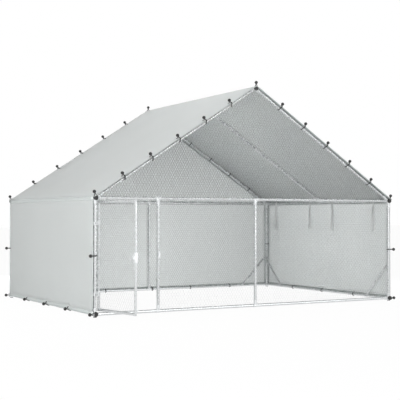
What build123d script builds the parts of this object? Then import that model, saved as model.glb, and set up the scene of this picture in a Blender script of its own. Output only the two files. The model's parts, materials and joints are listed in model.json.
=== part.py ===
from build123d import *
import os
from math import atan2, cos, hypot, pi, sin, sqrt, tan

os.makedirs("parts", exist_ok=True)

# Walk-in poultry run: a gable frame of steel tubes in sockets, wire netting, a fabric cover
# held by ball bungees and a netted door. Millimetres, +Z up, front towards -Y. The pieces are
# drawn about the ground below the frame's middle, then moved so that the origin is under the
# foot of the front left post.

# Frame, measured between tube axes
frame_width = 2975.0
frame_depth = 2050.0
eave_height = 934.0
ridge_height = 1891.0
base_height = 25.0
strike_post_x = -935.0
middle_post_x = 0.0

# Tubes and the sockets that hold them
tube_diameter = 25.0
tube_wall = 1.2
socket_wall = 1.6
socket_clearance = 0.25
sleeve_wall = 1.7
sleeve_clearance = 0.4
socket_grip = 33.0
tube_end_gap = 1.5
tee_half_length = 22.0
sleeve_half_length = 30.0
pole_stub = 24.0

# Black plugs in the pole ends and under the posts
plug_cap = 6.0
plug_spigot = 8.0
plug_clearance = 0.2
foot_cap = 4.0
foot_spigot = 7.0

# Hexagon-head screws that lock the tubes
screw_diameter = 5.5
screw_length = 9.0
screw_head_width = 10.0
screw_head_height = 3.5
screw_clearance = 0.3
screw_seat_gap = 0.1

# Corner braces
side_brace_leg = 305.0
rear_brace_leg = 345.0
brace_diameter = 22.0
brace_tab_thickness = 4.0
brace_tab_length = 32.0
brace_tab_weld = 8.0
brace_seat_gap = 0.3

# Wire netting and fabric cover
net_cell = 160.0
net_strip = 5.0
net_border = 8.0
net_thickness = 1.2
net_clearance = 0.7
net_seam = 2.0
cover_thickness = 1.0
cover_clearance = 0.7
sheet_edge = 5.0
roof_overhang = 35.0

# Ball bungees: each loop is two strands of elastic side by side
ball_diameter = 28.0
cord_diameter = 4.6
cord_clearance = 0.4
cord_gap = 0.4
cord_bend_gap = 0.9
loop_end_share = 0.8
ball_standoff = 46.0
ball_lead = 22.0
corner_ball_standoff = 50.0
corner_ball_lean = 0.3
ball_seat_gap = 0.3
eyelet_neck_drop = 1.2
lead_neck_drop = 0.8
eyelet_place = 21.0
eyelet_radius = 6.0
eyelet_depth = 16.0
strand_room_top = 9.0
pass_clearance = 0.8
stub_loop_place = 19.6
stub_hole_clearance = 2.0
post_bungee_height = 480.0
rafter_bungee_spaces = 6
side_bungee_spaces = 4
rear_bungee_spaces = 6
rear_bungee_shift = 40.0

# Tie tapes for the rolled-up side covers
tape_places = (-823.0, -192.0, 192.0, 823.0)
tape_width = 16.0
tape_thickness = 1.0
tape_length = 290.0
tape_spread = 25.0
tape_clearance = 0.4

# Door, in its closed place until it is turned open
door_diameter = 20.0
door_wall = 1.2
door_side_gap = 9.5
door_bottom = 60.0
door_top_gap = 34.0
door_open_angle = 79.5
door_net_side_gap = 4.0
door_net_gap = 0.8

# Hinge straps and the collars that carry the door
hinge_heights = (179.0, 735.0)
strap_height = 24.0
strap_wall = 2.0
strap_grip_gap = 0.2
hinge_clearance = 0.3
strap_web_width = 12.0
strap_ear_length = 34.0
strap_ear_wall = 3.0
strap_split = 3.0
strap_bolt_place = 25.0
strap_bolt_diameter = 6.0
strap_bolt_gap = 0.2
strap_nut_height = 5.0
collar_height = 10.0
collar_wall = 3.8
collar_gap = 0.5

# Slide-bolt latch
latch_height = 480.0
latch_bracket_height = 74.0
latch_wall = 2.0
latch_seat_gap = 0.2
latch_guide_height = 22.0
latch_bolt_diameter = 8.0
latch_bolt_clearance = 0.3
latch_bolt_wall = 4.0
latch_tip_gap = 1.0
latch_travel = 24.0
latch_handle_diameter = 6.0
latch_handle_length = 28.0
latch_screw_spacing = 50.0
keeper_height = 50.0
keeper_width = 16.0
keeper_hole_clearance = 0.8
keeper_net_gap = 1.0

tube_radius = tube_diameter / 2
socket_bore = tube_radius + socket_clearance
socket_radius = socket_bore + socket_wall
sleeve_bore = tube_radius + sleeve_clearance
sleeve_radius = sleeve_bore + sleeve_wall
tube_setback = tube_radius + tube_end_gap
half_width = frame_width / 2
half_depth = frame_depth / 2
roof_angle = atan2(ridge_height - eave_height, half_width)
rafter_setback = tube_radius / tan(roof_angle / 2) + tube_end_gap
screw_radius = screw_diameter / 2
net_offset = max(socket_radius, sleeve_radius) + net_clearance
cover_offset = net_offset + net_thickness + cover_clearance
cover_middle = cover_offset + cover_thickness / 2
cord_radius = cord_diameter / 2
strand_shift = (cord_diameter + cord_gap) / 2
ball_radius = ball_diameter / 2
door_radius = door_diameter / 2
hinge_offset = tube_radius + door_side_gap + door_radius
hinge_x = -half_width + hinge_offset
free_stile_x = strike_post_x - hinge_offset
door_top = eave_height - door_top_gap
up = Vector(0, 0, 1)

sides = {"left": -1, "right": 1}
ends = {"front": -1, "rear": 1}


def rod(start, end, radius):
    axis = Vector(end) - Vector(start)
    return Solid.make_cylinder(radius, axis.length, Plane(origin=start, z_dir=axis))


def block(low, high):
    size = Vector(high) - Vector(low)
    return Solid.make_box(size.X, size.Y, size.Z, Plane(origin=low))


def slab(middle, along, normal, length, width, thickness):
    box = Solid.make_box(length, width, thickness)
    box = box.moved(Location((-length / 2, -width / 2, -thickness / 2)))
    return box.moved(Location(Plane(origin=middle, x_dir=along, z_dir=normal)))


def hexagon_prism(start, direction, width, height):
    seat = Plane(origin=start, z_dir=direction)
    return extrude(seat * RegularPolygon(width / sqrt(3), 6), amount=height, dir=seat.z_dir).solid()


def joined(solids):
    return solids[0].fuse(*solids[1:])


def along_line(start, end, distance):
    return start + (end - start).normalized() * distance


def base_corner(side, end):
    return Vector(side * half_width, end * half_depth, base_height)


def eave_point(side, end):
    return Vector(side * half_width, end * half_depth, eave_height)


def ridge_point(end):
    return Vector(0, end * half_depth, ridge_height)


def front_post_foot(x):
    return Vector(x, -half_depth, base_height)


def above(point):
    return Vector(point.X, point.Y, eave_height)


def frame_members():
    # each tube: its two joints, how far it stops short of each, and where its screws face
    members = {}
    for end_name, end in ends.items():
        inside = Vector(0, -end, 0)
        for side_name, side in sides.items():
            foot = base_corner(side, end)
            head = eave_point(side, end)
            members[f"{end_name}_{side_name}_post"] = (foot, head, tube_setback, tube_setback, inside)
            rafter = (head, ridge_point(end), rafter_setback, tube_setback, inside)
            members[f"{end_name}_{side_name}_rafter"] = rafter
        base = (base_corner(-1, end), base_corner(1, end), tube_setback, tube_setback, inside)
        tie = (eave_point(-1, end), eave_point(1, end), tube_setback, tube_setback, inside)
        members[f"{end_name}_base_rail"] = base
        members[f"{end_name}_tie_beam"] = tie
    for side_name, side in sides.items():
        inside = Vector(-side, 0, 0)
        base = (base_corner(side, -1), base_corner(side, 1), tube_setback, tube_setback, inside)
        eave = (eave_point(side, -1), eave_point(side, 1), tube_setback, tube_setback, inside)
        rafter = (eave_point(side, 0), ridge_point(0), tube_setback, tube_setback, Vector(0, 1, 0))
        members[f"{side_name}_base_rail"] = base
        members[f"{side_name}_eave_rail"] = eave
        members[f"middle_{side_name}_rafter"] = rafter
    members["ridge_pole"] = (ridge_point(-1), ridge_point(1), tube_setback, tube_setback, -up)
    for name, foot, inside in standing_posts():
        members[name] = (foot, above(foot), tube_setback, tube_setback, inside)
    return members


def standing_posts():
    rear_foot = Vector(middle_post_x, half_depth, base_height)
    return (
        ("door_strike_post", front_post_foot(strike_post_x), Vector(0, 1, 0)),
        ("front_middle_post", front_post_foot(middle_post_x), Vector(0, 1, 0)),
        ("rear_middle_post", rear_foot, Vector(0, -1, 0)),
    )


def socket_screw_places(member):
    # a point on the tube's axis and the way its screw faces, at each end of the tube
    start, end, start_setback, end_setback, facing = member
    near = along_line(start, end, start_setback + socket_grip / 2)
    far = along_line(end, start, end_setback + socket_grip / 2)
    return [(near, facing), (far, facing)]


def screw_hole(point, facing, reach):
    return rod(point, point + facing * reach, screw_radius + screw_clearance)


def screw(seat, facing):
    head_seat = seat + facing * screw_seat_gap
    head = hexagon_prism(head_seat, facing, screw_head_width, screw_head_height)
    shank = rod(head_seat - facing * screw_length, head_seat + facing, screw_radius)
    return head.fuse(shank)


def frame_tube(member, extra_holes):
    start, end, start_setback, end_setback, facing = member
    near = along_line(start, end, start_setback)
    far = along_line(end, start, end_setback)
    holes = [screw_hole(point, way, socket_radius) for point, way in socket_screw_places(member)]
    holes += [screw_hole(point, way, socket_radius) for point, way in extra_holes]
    return rod(near, far, tube_radius).cut(rod(near, far, tube_radius - tube_wall), *holes)


def fitting(joint, sockets, screws):
    # sockets: where each one points, its length from the joint and behind it, outer radius and bore
    walls = []
    bores = []
    for way, reach, back, outer, bore in sockets:
        walls.append(rod(joint - way * back, joint + way * reach, outer))
        bore_start = joint - way * (back + 1 if back else 0)
        bores.append(rod(bore_start, joint + way * (reach + 1), bore))
    reach = max(socket[1] for socket in sockets)
    near = [(point, way) for point, way in screws if (point - joint).length < reach]
    holes = [screw_hole(point, way, sleeve_radius + 1) for point, way in near]
    return joined(walls).cut(joined(bores), *holes)


def member_socket(joint, member, back=0):
    start, end, start_setback, end_setback, facing = member
    if (start - joint).length < tube_radius:
        return ((end - start).normalized(), start_setback + socket_grip, back, socket_radius, socket_bore)
    return ((start - end).normalized(), end_setback + socket_grip, back, socket_radius, socket_bore)


def pole_socket(joint, member):
    # a socket on one of the long poles, which runs on past the frame as a stub
    way, reach, back, outer, bore = member_socket(joint, member)
    return (way, reach, pole_stub, sleeve_radius, sleeve_bore)


def sleeve(way, half_length):
    return (way, half_length, half_length, sleeve_radius, sleeve_bore)


def corner_fittings(members, screws):
    eaves = []
    bases = []
    for end_name, end in ends.items():
        for side_name, side in sides.items():
            corner = f"{end_name}_{side_name}"
            joint = eave_point(side, end)
            sockets = [
                pole_socket(joint, members[f"{side_name}_eave_rail"]),
                member_socket(joint, members[f"{corner}_post"]),
                member_socket(joint, members[f"{end_name}_tie_beam"]),
                member_socket(joint, members[f"{corner}_rafter"]),
            ]
            eaves.append(fitting(joint, sockets, screws))
            joint = base_corner(side, end)
            sockets = [
                pole_socket(joint, members[f"{side_name}_base_rail"]),
                member_socket(joint, members[f"{corner}_post"], base_height - foot_cap),
                member_socket(joint, members[f"{end_name}_base_rail"]),
            ]
            bases.append(fitting(joint, sockets, screws))
    return eaves, bases


def ridge_fittings(members, screws):
    fittings = []
    for name, end in (("front", -1), ("middle", 0), ("rear", 1)):
        joint = ridge_point(end)
        pole = sleeve(Vector(0, 1, 0), sleeve_half_length)
        if end:
            pole = pole_socket(joint, members["ridge_pole"])
        rafters = [member_socket(joint, members[f"{name}_{side}_rafter"]) for side in sides]
        fittings.append(fitting(joint, [pole] + rafters, screws))
    return fittings


def eave_middle_fittings(members, screws):
    fittings = []
    for side_name, side in sides.items():
        joint = eave_point(side, 0)
        rafter = member_socket(joint, members[f"middle_{side_name}_rafter"])
        fittings.append(fitting(joint, [sleeve(Vector(0, 1, 0), sleeve_half_length), rafter], screws))
    return fittings


def post_tees(members, screws):
    tees = []
    for name, foot, inside in standing_posts():
        for joint in (foot, above(foot)):
            post = member_socket(joint, members[name])
            tees.append(fitting(joint, [sleeve(Vector(1, 0, 0), tee_half_length), post], screws))
    return tees


def plug(seat, outward, cap, spigot, outer, bore):
    head = rod(seat, seat + outward * cap, outer)
    return head.fuse(rod(seat - outward * spigot, seat + outward, bore - plug_clearance))


def end_plugs():
    plugs = []
    for end in ends.values():
        outward = Vector(0, end, 0)
        joints = [ridge_point(end)]
        joints += [eave_point(side, end) for side in sides.values()]
        joints += [base_corner(side, end) for side in sides.values()]
        for joint in joints:
            seat = joint + outward * pole_stub
            plugs.append(plug(seat, outward, plug_cap, plug_spigot, sleeve_radius, sleeve_bore))
        for side in sides.values():
            seat = Vector(side * half_width, end * half_depth, foot_cap)
            plugs.append(plug(seat, -up, foot_cap, foot_spigot, socket_radius, socket_bore))
    return plugs


def brace_places():
    # name, base corner, way along the rail, way into the run, leg, post and rail it joins
    places = []
    for side_name, side in sides.items():
        for end_name, end in ends.items():
            held = (f"{end_name}_{side_name}_post", f"{side_name}_base_rail")
            way = Vector(0, -end, 0)
            inside = Vector(-side, 0, 0)
            name = f"{side_name}_{end_name}_brace"
            places.append((name, base_corner(side, end), way, inside, side_brace_leg, held))
        held = (f"rear_{side_name}_post", "rear_base_rail")
        way = Vector(-side, 0, 0)
        inside = Vector(0, -1, 0)
        name = f"rear_{side_name}_brace"
        places.append((name, base_corner(side, 1), way, inside, rear_brace_leg, held))
    return places


def brace_ends(corner, way, leg):
    return corner + way * leg, corner + up * leg


def brace(corner, way, inside, leg):
    lift = inside * (tube_radius + brace_seat_gap + brace_tab_thickness / 2)
    foot, head = [point + lift for point in brace_ends(corner, way, leg)]
    near = along_line(foot, head, brace_tab_length)
    far = along_line(head, foot, brace_tab_length)
    bar = rod(near, far, brace_diameter / 2).cut(rod(near, far, brace_diameter / 2 - tube_wall))
    half = inside * (brace_tab_thickness / 2)
    pieces = [bar]
    holes = []
    for point, other in ((foot, head), (head, foot)):
        length = brace_tab_length + brace_tab_weld
        middle = along_line(point, other, length / 2)
        pieces.append(slab(middle, other - point, inside, length, brace_diameter, brace_tab_thickness))
        pieces.append(rod(point - half, point + half, brace_diameter / 2))
        holes.append(rod(point - half * 2, point + half * 2, screw_radius + screw_clearance))
    return joined(pieces).cut(*holes)


def brace_screw_places():
    # each tube's brace screws, as points on its axis and the way they face
    places = {}
    for name, corner, way, inside, leg, held in brace_places():
        foot, head = brace_ends(corner, way, leg)
        places.setdefault(held[0], []).append((head, inside))
        places.setdefault(held[1], []).append((foot, inside))
    return places


def bungees():
    # each bungee: point on the pole's axis, way to its ball, way onto the sheet, whether it holds
    # a pole's end, how far its ball leads over the sheet's edge and how far that edge overhangs
    places = []
    for end in ends.values():
        stub = Vector(0, end * stub_loop_place, 0)
        places.append((ridge_point(end) + stub, up, Vector(1, 0, 0), True, 0, 0))
        for side in sides.values():
            outward = Vector(side, 0, 0)
            inside = Vector(0, -end, 0)
            roof_normal = Vector(side * sin(roof_angle), 0, cos(roof_angle))
            eave = eave_point(side, end)
            for count in range(1, rafter_bungee_spaces):
                point = eave + (ridge_point(end) - eave) * (count / rafter_bungee_spaces)
                places.append((point, roof_normal, inside, False, ball_lead, roof_overhang))
            middle = Vector(eave.X, eave.Y, post_bungee_height)
            places.append((middle, outward, inside, False, ball_lead, 0))
            lean = (up + outward * corner_ball_lean).normalized()
            across = lean.cross(Vector(0, 1, 0))
            places.append((eave + stub, lean, across, True, 0, 0))
            places.append((base_corner(side, end) + stub, outward, up, True, 0, 0))
    for side in sides.values():
        for count in range(1, side_bungee_spaces):
            place = count * frame_depth / side_bungee_spaces - half_depth
            point = Vector(side * half_width, place, base_height)
            places.append((point, Vector(side, 0, 0), up, False, 0, 0))
    for count in range(1, rear_bungee_spaces):
        place = count * frame_width / rear_bungee_spaces - half_width
        if abs(place - middle_post_x) < rear_bungee_shift:
            place = middle_post_x + rear_bungee_shift
        point = Vector(place, half_depth, base_height)
        places.append((point, Vector(0, 1, 0), up, False, 0, 0))
    return places


def ball_rise(on_stub):
    return corner_ball_standoff if on_stub else ball_standoff


def bungee_ball(bungee):
    point, outward, inward, on_stub, lead, overhang = bungee
    middle = point + outward * ball_rise(on_stub) - inward * lead
    return Solid.make_sphere(ball_radius, Plane(origin=middle))


def cord_pins(bungee):
    # what a strand runs round, from the ball's neck through the eyelet and round the pole to the
    # neck again: distance onto the sheet, distance outward and radius of the bend
    point, outward, inward, on_stub, lead, overhang = bungee
    pole_radius = sleeve_radius if on_stub else tube_radius
    neck_rise = ball_rise(on_stub) - ball_radius - ball_seat_gap
    bend = cord_radius + cord_bend_gap
    eyelet = []
    if not on_stub:
        neck_rise -= eyelet_neck_drop + (lead_neck_drop if lead else 0)
        eyelet = [(eyelet_place - bend, cover_middle, bend)]
    pins = [(strand_shift - lead, neck_rise, 0)] + eyelet
    pins.append((0, 0, pole_radius + cord_clearance + cord_radius))
    if overhang:
        pins.append((-overhang, cover_middle, bend))
    pins.append((-strand_shift - lead, neck_rise, 0))
    return pins


def run_normal(pin, other):
    # way from a run's line to its outer side, for a strand drawn clockwise round two pins
    x = other[0] - pin[0]
    y = other[1] - pin[1]
    length = hypot(x, y)
    slant = (pin[2] - other[2]) / length
    across = sqrt(1 - slant ** 2)
    return ((x * slant - y * across) / length, (y * slant + x * across) / length)


def rim(pin, normal):
    return (pin[0] + pin[2] * normal[0], pin[1] + pin[2] * normal[1])


def arc_middle(pin, normal_in, normal_out):
    turn_in = atan2(normal_in[1], normal_in[0])
    turn_out = atan2(normal_out[1], normal_out[0])
    turn = turn_in - (turn_in - turn_out) % (2 * pi) / 2
    return rim(pin, (cos(turn), sin(turn)))


def strand(bungee, shift):
    point, outward, inward = bungee[:3]
    middle = point + outward.cross(inward) * shift
    pins = cord_pins(bungee)
    normals = [run_normal(pin, other) for pin, other in zip(pins, pins[1:])]

    def spot(place):
        return middle + inward * place[0] + outward * place[1]

    edges = []
    for count, normal in enumerate(normals):
        start = spot(rim(pins[count], normal))
        finish = spot(rim(pins[count + 1], normal))
        edges.append(Edge.make_line(start, finish))
        if count + 1 < len(normals):
            bend = spot(arc_middle(pins[count + 1], normal, normals[count + 1]))
            after = spot(rim(pins[count + 1], normals[count + 1]))
            edges.append(Edge.make_three_point_arc(finish, bend, after))
    path = Wire(edges)
    section = Plane(origin=path @ 0, z_dir=path % 0) * Circle(cord_radius)
    return sweep(section, path=path).solid(), path @ 1, path % 1


def bungee_loop(bungee):
    # the loop's closed end joins its two strands under the ball
    first, first_tip, way = strand(bungee, -strand_shift)
    second, second_tip, way = strand(bungee, strand_shift)
    middle = (first_tip + second_tip) / 2 - way * cord_radius
    size = cord_diameter * loop_end_share
    bridge = slab(middle, second_tip - first_tip, way, 2 * strand_shift, size, size)
    return first.fuse(second, bridge)


def sheet_passes(bungee):
    # an eyelet in the sheet, and room for the strand that leaves the pole past its edge
    point, outward, inward = bungee[:3]
    half = outward * (eyelet_depth / 2)
    eyelet = point + inward * eyelet_place + outward * cover_middle
    pins = cord_pins(bungee)
    normal = run_normal(pins[2], pins[3])
    x, y = rim(pins[2], normal)
    reach = (strand_room_top - y) / -normal[0]
    way = inward * normal[1] - outward * normal[0]
    leave = point + inward * x + outward * y
    room = rod(leave - way * eyelet_radius, leave + way * reach, eyelet_radius)
    return [rod(eyelet - half, eyelet + half, eyelet_radius), room]


def stub_passes(bungee):
    # a slot for the strands that hold a pole's end
    point, outward, inward = bungee[:3]
    along = outward.cross(inward)
    half = strand_shift + cord_radius + pass_clearance
    radius = sleeve_radius + cord_clearance + cord_diameter + stub_hole_clearance
    rise = corner_ball_standoff
    ring = rod(point - along * half, point + along * half, radius)
    slot = slab(point + outward * (rise / 2), outward, along, rise, 2 * sleeve_radius, 2 * half)
    return [ring, slot]


def bungee_passes():
    passes = []
    for bungee in bungees():
        passes += stub_passes(bungee) if bungee[3] else sheet_passes(bungee)
    return passes


def pole_end_room():
    # room that the nets and the upright covers leave for the pole ends
    radius = sleeve_radius + cord_clearance + cord_diameter + stub_hole_clearance
    room = []
    for end in ends.values():
        outward = Vector(0, end, 0)
        joints = [ridge_point(end)]
        joints += [eave_point(side, end) for side in sides.values()]
        joints += [base_corner(side, end) for side in sides.values()]
        for joint in joints:
            room.append(rod(joint + outward * tube_radius, joint + outward * ball_standoff, radius))
    return room


def boxes_meet(one, other):
    a = one.bounding_box()
    b = other.bounding_box()
    apart_x = a.min.X > b.max.X or b.min.X > a.max.X
    apart_y = a.min.Y > b.max.Y or b.min.Y > a.max.Y
    apart_z = a.min.Z > b.max.Z or b.min.Z > a.max.Z
    return not (apart_x or apart_y or apart_z)


def with_passes(sheet, passes):
    cutters = [cutter for cutter in passes if boxes_meet(sheet, cutter)]
    if not cutters:
        return sheet
    return sheet.cut(*cutters)


def inward_lines(outline, border):
    # each edge of a counter-clockwise outline as a normal and a least distance along it
    lines = []
    for (x0, y0), (x1, y1) in zip(outline, outline[1:] + outline[:1]):
        length = hypot(x1 - x0, y1 - y0)
        normal_x = (y0 - y1) / length
        normal_y = (x1 - x0) / length
        lines.append((normal_x, normal_y, normal_x * x0 + normal_y * y0 + border))
    return lines


def clipped(cell, lines):
    for normal_x, normal_y, least in lines:
        kept = []
        for (x0, y0), (x1, y1) in zip(cell, cell[1:] + cell[:1]):
            depth0 = normal_x * x0 + normal_y * y0 - least
            depth1 = normal_x * x1 + normal_y * y1 - least
            if depth0 >= 0:
                kept.append((x0, y0))
            if depth0 * depth1 < 0:
                share = depth0 / (depth0 - depth1)
                kept.append((x0 + share * (x1 - x0), y0 + share * (y1 - y0)))
        cell = kept
    return cell


def polygon_area(points):
    pairs = zip(points, points[1:] + points[:1])
    return sum(x0 * y1 - x1 * y0 for (x0, y0), (x1, y1) in pairs) / 2


def hexagon_gaps(outline):
    # the gaps of a hexagonal net, cut off at a border along the outline
    lines = inward_lines(outline, net_border)
    gap_radius = (net_cell - net_strip) / sqrt(3)
    row_pitch = net_cell * sqrt(3) / 2
    corners = [pi / 6 + count * pi / 3 for count in range(6)]
    xs = [x for x, y in outline]
    ys = [y for x, y in outline]
    columns = int((max(xs) - min(xs)) / net_cell / 2) + 2
    rows = int((max(ys) - min(ys)) / row_pitch / 2) + 2
    middle_x = (max(xs) + min(xs)) / 2
    middle_y = (max(ys) + min(ys)) / 2
    least_area = (net_cell / 4) ** 2
    gaps = []
    for row in range(-rows, rows + 1):
        for column in range(-columns, columns + 1):
            x = middle_x + (column + (row % 2) / 2) * net_cell
            y = middle_y + row * row_pitch
            cell = [(x + gap_radius * cos(turn), y + gap_radius * sin(turn)) for turn in corners]
            gap = clipped(cell, lines)
            if len(gap) > 2 and polygon_area(gap) > least_area:
                gaps.append(gap)
    return gaps


def flat_wire(points):
    return Wire.make_polygon([(x, y, 0) for x, y in points], close=True)


def net(outline, plane, passes):
    face = Face(flat_wire(outline), [flat_wire(gap) for gap in hexagon_gaps(outline)])
    sheet = extrude(face, amount=net_thickness, dir=(0, 0, 1)).solid()
    return with_passes(sheet.moved(Location(plane)), passes)


def rectangle(x0, y0, x1, y1):
    return [(x0, y0), (x1, y0), (x1, y1), (x0, y1)]


def roof_height(distance, offset):
    # height of a plane at this offset over the roof, at a distance from the ridge
    return ridge_height - distance * tan(roof_angle) + offset / cos(roof_angle)


def side_top(offset, thickness, gap):
    return roof_height(half_width + offset + thickness, offset) - gap


def gable_outline(bottom, half_span):
    # full height of a gable wall up to the rafters, cut off at half_span each side
    shoulder = roof_height(half_span, sheet_edge)
    peak = roof_height(0, sheet_edge)
    foot = [(-half_span, bottom), (half_span, bottom)]
    return foot + [(half_span, shoulder), (0, peak), (-half_span, shoulder)]


def gable_triangle(bottom):
    reach = (roof_height(0, sheet_edge) - bottom) / tan(roof_angle)
    return [(-reach, bottom), (reach, bottom), (0, roof_height(0, sheet_edge))]


def wall_plane(end, offset):
    return Plane(origin=(0, end * (half_depth + offset), 0), x_dir=(-end, 0, 0), z_dir=(0, end, 0))


def side_plane(side, offset):
    return Plane(origin=(side * (half_width + offset), 0, 0), x_dir=(0, side, 0), z_dir=(side, 0, 0))


def slope_plane(side):
    normal = Vector(side * sin(roof_angle), 0, cos(roof_angle))
    upward = Vector(-side * cos(roof_angle), 0, sin(roof_angle))
    return Plane(origin=eave_point(side, 0) + normal * net_offset, x_dir=upward, z_dir=normal)


def nets(passes):
    bottom = base_height - sheet_edge
    edge = half_depth + sheet_edge
    front = wall_plane(-1, net_offset)
    front_top = eave_height - net_seam / 2
    front_outline = rectangle(strike_post_x - sheet_edge, bottom, half_width + sheet_edge, front_top)
    slope_low = (net_offset * sin(roof_angle) - net_offset - net_thickness) / cos(roof_angle)
    slope_high = (half_width - net_seam / 2 + net_offset * sin(roof_angle)) / cos(roof_angle)
    side_outline = rectangle(-edge, bottom, edge, side_top(net_offset, net_thickness, net_seam / 2))
    slope_outline = rectangle(slope_low, -edge, slope_high, edge)
    panels = {
        "front_net": net(front_outline, front, passes + [keeper_room()]),
        "front_gable_net": net(gable_triangle(eave_height + net_seam / 2), front, passes),
        "rear_net": net(gable_outline(bottom, half_width + sheet_edge), wall_plane(1, net_offset), passes),
    }
    for side_name, side in sides.items():
        panels[f"{side_name}_net"] = net(side_outline, side_plane(side, net_offset), passes)
        panels[f"{side_name}_roof_net"] = net(slope_outline, slope_plane(side), passes)
    return panels


def sheet_panel(outline, plane, passes):
    sheet = extrude(Face(flat_wire(outline)), amount=cover_thickness, dir=(0, 0, 1)).solid()
    return with_passes(sheet.moved(Location(plane)), passes)


def roof_cover(passes):
    reach = half_width + cover_offset + cover_thickness
    outer = cover_offset + cover_thickness
    section = [
        (-reach, roof_height(reach, cover_offset)),
        (0, roof_height(0, cover_offset)),
        (reach, roof_height(reach, cover_offset)),
        (reach, roof_height(reach, outer)),
        (0, roof_height(0, outer)),
        (-reach, roof_height(reach, outer)),
    ]
    length = frame_depth + 2 * roof_overhang
    sheet = extrude(Face(flat_wire(section)), amount=length, dir=(0, 0, 1)).solid()
    place = Plane(origin=(0, length / 2, 0), x_dir=(1, 0, 0), z_dir=(0, -1, 0))
    return with_passes(sheet.moved(Location(place)), passes)


def covers(passes):
    bottom = base_height - sheet_edge
    edge = half_depth + sheet_edge
    side_outline = rectangle(-edge, bottom, edge, side_top(cover_offset, cover_thickness, cover_clearance))
    rear_outline = gable_outline(bottom, half_width + sheet_edge)
    upright_passes = passes + pole_end_room()
    panels = {"roof_cover": roof_cover(passes)}
    panels["rear_cover"] = sheet_panel(rear_outline, wall_plane(1, cover_offset), upright_passes)
    for side_name, side in sides.items():
        plane = side_plane(side, cover_offset)
        panels[f"{side_name}_side_cover"] = sheet_panel(side_outline, plane, upright_passes)
    return panels


def tie_tape(side, place):
    rail = Vector(side * half_width, place, eave_height)
    half = Vector(0, tape_width / 2, 0)
    inner = tube_radius + tape_clearance
    band = rod(rail - half, rail + half, inner + tape_thickness).cut(rod(rail - half, rail + half, inner))
    tails = []
    for way in (-1, 1):
        foot = way * tape_spread
        outline = [
            (-tape_width / 2, 0),
            (foot - tape_width / 2, -tape_length),
            (foot + tape_width / 2, -tape_length),
            (tape_width / 2, 0),
        ]
        plane = Plane(origin=rail - Vector(side * inner, 0, 0), x_dir=(0, -side, 0), z_dir=(-side, 0, 0))
        tail = extrude(Face(flat_wire(outline)), amount=tape_thickness, dir=(0, 0, 1)).solid()
        tails.append(tail.moved(Location(plane)))
    return band.fuse(*tails)


def front_place(x, y, z):
    return Vector(x, y - half_depth, z)


def door_frame():
    low = door_bottom
    high = door_top
    inner = door_radius - door_wall
    walls = []
    bores = []
    for x in (hinge_x, free_stile_x):
        foot = front_place(x, 0, low)
        head = front_place(x, 0, high)
        walls.append(rod(foot - up * door_radius, head + up * door_radius, door_radius))
        bores.append(rod(foot - up * inner, head + up * inner, inner))
    for z in (low, high):
        walls.append(rod(front_place(hinge_x, 0, z), front_place(free_stile_x, 0, z), door_radius))
        bores.append(rod(front_place(hinge_x, 0, z), front_place(free_stile_x, 0, z), inner))
    holes = [screw_hole(point, way, door_diameter) for point, way in latch_screw_places()]
    return joined(walls).cut(joined(bores), *holes)


def door_net():
    left = hinge_x + door_radius + door_net_side_gap
    right = free_stile_x - door_radius - door_net_gap
    low = door_bottom + door_radius + door_net_gap
    high = door_top - door_radius - door_net_gap
    plane = wall_plane(-1, -net_thickness / 2)
    return net(rectangle(left, low, right, high), plane, [])


def strap_bolt_seat(height, way):
    reach = strap_split / 2 + strap_ear_wall
    return front_place(-half_width + way * reach, -strap_bolt_place, height)


def hinge_strap(height):
    half = up * (strap_height / 2)
    post = front_place(-half_width, 0, height)
    stile = front_place(hinge_x, 0, height)
    grip = tube_radius + strap_grip_gap
    turn = door_radius + hinge_clearance
    low = height - strap_height / 2
    high = height + strap_height / 2
    ear = strap_split / 2 + strap_ear_wall
    ear_front = -strap_ear_length
    web_half = strap_web_width / 2
    body = joined([
        rod(post - half, post + half, grip + strap_wall),
        rod(stile - half, stile + half, turn + strap_wall),
        block(front_place(-half_width, -web_half, low), front_place(hinge_x, web_half, high)),
        block(front_place(-half_width - ear, ear_front, low), front_place(-half_width + ear, 0, high)),
    ])
    split = strap_split / 2
    slit_low = front_place(-half_width - split, ear_front - 1, low - 1)
    hole_ends = [strap_bolt_seat(height, way * 2) for way in (-1, 1)]
    return body.cut(
        rod(post - half * 2, post + half * 2, grip),
        rod(stile - half * 2, stile + half * 2, turn),
        block(slit_low, front_place(-half_width + split, 0, high + 1)),
        rod(hole_ends[0], hole_ends[1], strap_bolt_diameter / 2 + strap_bolt_gap),
    )


def strap_bolt(height):
    across = Vector(1, 0, 0)
    head_seat = strap_bolt_seat(height, -1) - across * screw_seat_gap
    nut_seat = strap_bolt_seat(height, 1)
    head = hexagon_prism(head_seat, -across, screw_head_width, screw_head_height)
    shank_end = nut_seat + across * (strap_nut_height + 2)
    return head.fuse(rod(head_seat - across, shank_end, strap_bolt_diameter / 2))


def strap_nut(height):
    across = Vector(1, 0, 0)
    seat = strap_bolt_seat(height, 1) + across * screw_seat_gap
    bore_end = seat + across * (strap_nut_height + 1)
    bore = rod(seat - across, bore_end, strap_bolt_diameter / 2 + strap_bolt_gap)
    return hexagon_prism(seat, across, screw_head_width, strap_nut_height).cut(bore)


def door_collar(height):
    low = front_place(hinge_x, 0, height + strap_height / 2 + collar_gap)
    high = low + up * collar_height
    inner = door_radius + strap_grip_gap
    return rod(low, high, inner + collar_wall).cut(rod(low, high, inner))


def latch_axis_y():
    guide_face = door_radius + latch_seat_gap + latch_wall
    return -guide_face - latch_bolt_wall - latch_bolt_diameter / 2


def latch_screw_places():
    facing = Vector(0, 1, 0)
    heights = [latch_height + way * latch_screw_spacing / 2 for way in (-1, 1)]
    return [(front_place(free_stile_x, 0, height), facing) for height in heights]


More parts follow.
